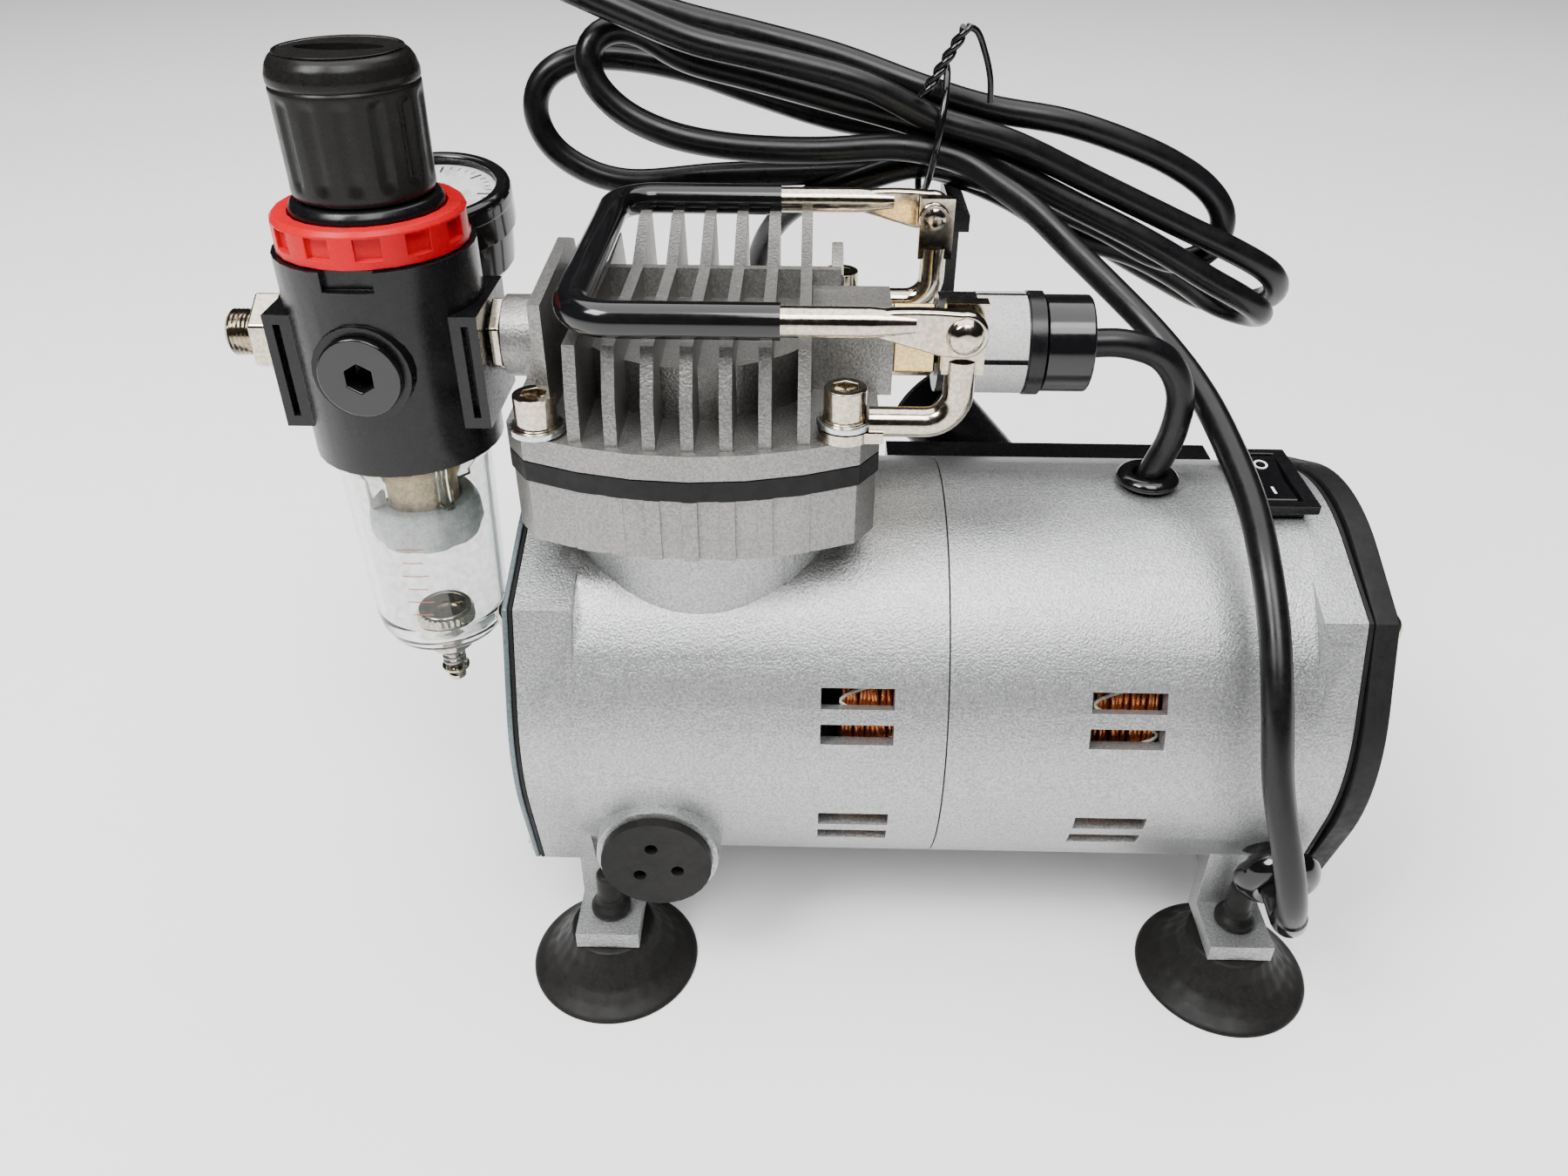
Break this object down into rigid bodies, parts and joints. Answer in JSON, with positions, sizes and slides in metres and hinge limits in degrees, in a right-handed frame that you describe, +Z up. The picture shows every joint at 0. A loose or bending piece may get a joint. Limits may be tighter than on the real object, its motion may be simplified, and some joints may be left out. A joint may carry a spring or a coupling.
{
  "type": "airbrush compressor",
  "caption": "Single-cylinder airbrush compressor with finned head, folding handle, filter-regulator with gauge, suction feet and a tied mains lead.",
  "frame": {"origin": "middle of the footprint of the compressor without its mains lead, on the surface the four feet stand on", "axes": "+X along the motor shaft from the regulator to the motor's end cover, +Y to the back, +Z up"},
  "size_m": [0.2446, 0.1832, 0.2114],
  "materials": {
    "cast_body": "silver sprayed, fine grain",
    "cast_head": "cast, bead blasted",
    "black_plastic": "moulded, satin",
    "gloss_black": "polished",
    "rubber_black": "matte",
    "cord_black": "PVC, semi gloss",
    "nickel": "bright nickel",
    "steel": "plain",
    "iron": "laminated sheet",
    "copper": "enamelled wire",
    "brass": "plain",
    "bronze": "sintered, porous",
    "red_plastic": "moulded",
    "clear_plastic": "clear polycarbonate",
    "white_plastic": "moulded"
  },
  "bodies": {
    "base": {"crankcase": "cast_body", "motor_housing": "cast_body", "cylinder": "cast_head", "cylinder_head": "cast_head", "front_gasket": "rubber_black", "end_gasket": "rubber_black", "intake_cap": "rubber_black", "foot_1": "rubber_black", "foot_2": "rubber_black", "foot_3": "rubber_black", "foot_4": "rubber_black", "front_cover": "steel", "front_bearing": "steel", "rear_bearing": "steel", "drain_spring": "steel", "stator_core": "iron", "stator_winding": "copper", "end_cover": "black_plastic", "valve_plate": "black_plastic", "switch_housing": "black_plastic", "pressure_switch": "black_plastic", "regulator_body": "black_plastic", "regulator_bonnet": "black_plastic", "airbrush_holder": "black_plastic", "plug": "black_plastic", "cable_grommet": "gloss_black", "pressure_switch_cap": "gloss_black", "port_plug": "gloss_black", "gauge_case": "gloss_black", "strain_relief": "gloss_black", "pressure_switch_cable": "cord_black", "mains_cord": "cord_black", "cord_tail": "cord_black", "cord_hank": "cord_black", "head_bolt_1": "nickel", "head_bolt_2": "nickel", "head_bolt_3": "nickel", "head_bolt_4": "nickel", "handle_bracket_front": "nickel", "handle_bracket_back": "nickel", "inlet_nipple": "nickel", "outlet_fitting": "nickel", "drain_seat": "nickel", "pressure_switch_fitting": "brass", "filter_element": "bronze", "lock_ring": "red_plastic", "filter_bowl": "clear_plastic", "filter_baffle": "white_plastic"},
    "shaft": {"motor_shaft": "steel", "rotor": "iron", "cooling_fan": "black_plastic", "crank": "steel"},
    "rod": {"connecting_rod": "cast_head"},
    "piston": {"piston": "cast_head"},
    "handle": {"handle_bail": "nickel", "handle_sleeve": "gloss_black"},
    "knob": {"regulator_knob": "gloss_black"},
    "rocker": {"switch_rocker": "gloss_black"},
    "drain": {"drain_valve": "nickel"},
    "needle": {"gauge_needle": "black_plastic"}
  },
  "joints": [
    {"name": "motor_spin", "type": "hinge", "parent": "base", "child": "shaft", "pos_m": [-0.02315, -0.00655, 0.064], "axis": [1, 0, 0], "continuous": true},
    {"name": "rod_swing", "type": "hinge", "parent": "shaft", "child": "rod", "pos_m": [-0.02315, -0.00655, 0.0675], "axis": [1, 0, 0], "continuous": true},
    {"name": "piston_stroke", "type": "slide", "parent": "base", "child": "piston", "axis": [0, 0, 1], "range_m": [-0.007, 0]},
    {"name": "handle_swing", "type": "hinge", "parent": "base", "child": "handle", "pos_m": [0.02655, -0.00655, 0.1618], "axis": [0, 1, 0], "range_deg": [0, 120]},
    {"name": "knob_turn", "type": "hinge", "parent": "base", "child": "knob", "pos_m": [-0.08845, -0.00655, 0.184], "axis": [0, 0, 1], "range_deg": [-1080, 0]},
    {"name": "rocker_tilt", "type": "hinge", "parent": "base", "child": "rocker", "pos_m": [0.10175, -0.00655, 0.109], "axis": [1, 0, 0], "range_deg": [-12, 0]},
    {"name": "drain_push", "type": "slide", "parent": "base", "child": "drain", "axis": [0, 0, 1], "range_m": [0, 0.0025], "stiffness_N_per_m": 400, "springref_m": -0.001, "deforming": ["drain_spring"]},
    {"name": "gauge_sweep", "type": "hinge", "parent": "base", "child": "needle", "pos_m": [-0.08845, 0.03265, 0.1654], "axis": [0, -0.1564, 0.9877], "range_deg": [-270, 0], "stiffness_Nm_per_rad": 0.0005}
  ],
  "couplings": [
    {"joint": "rod_swing", "follows": "motor_spin", "ratio": -1}
  ]
}
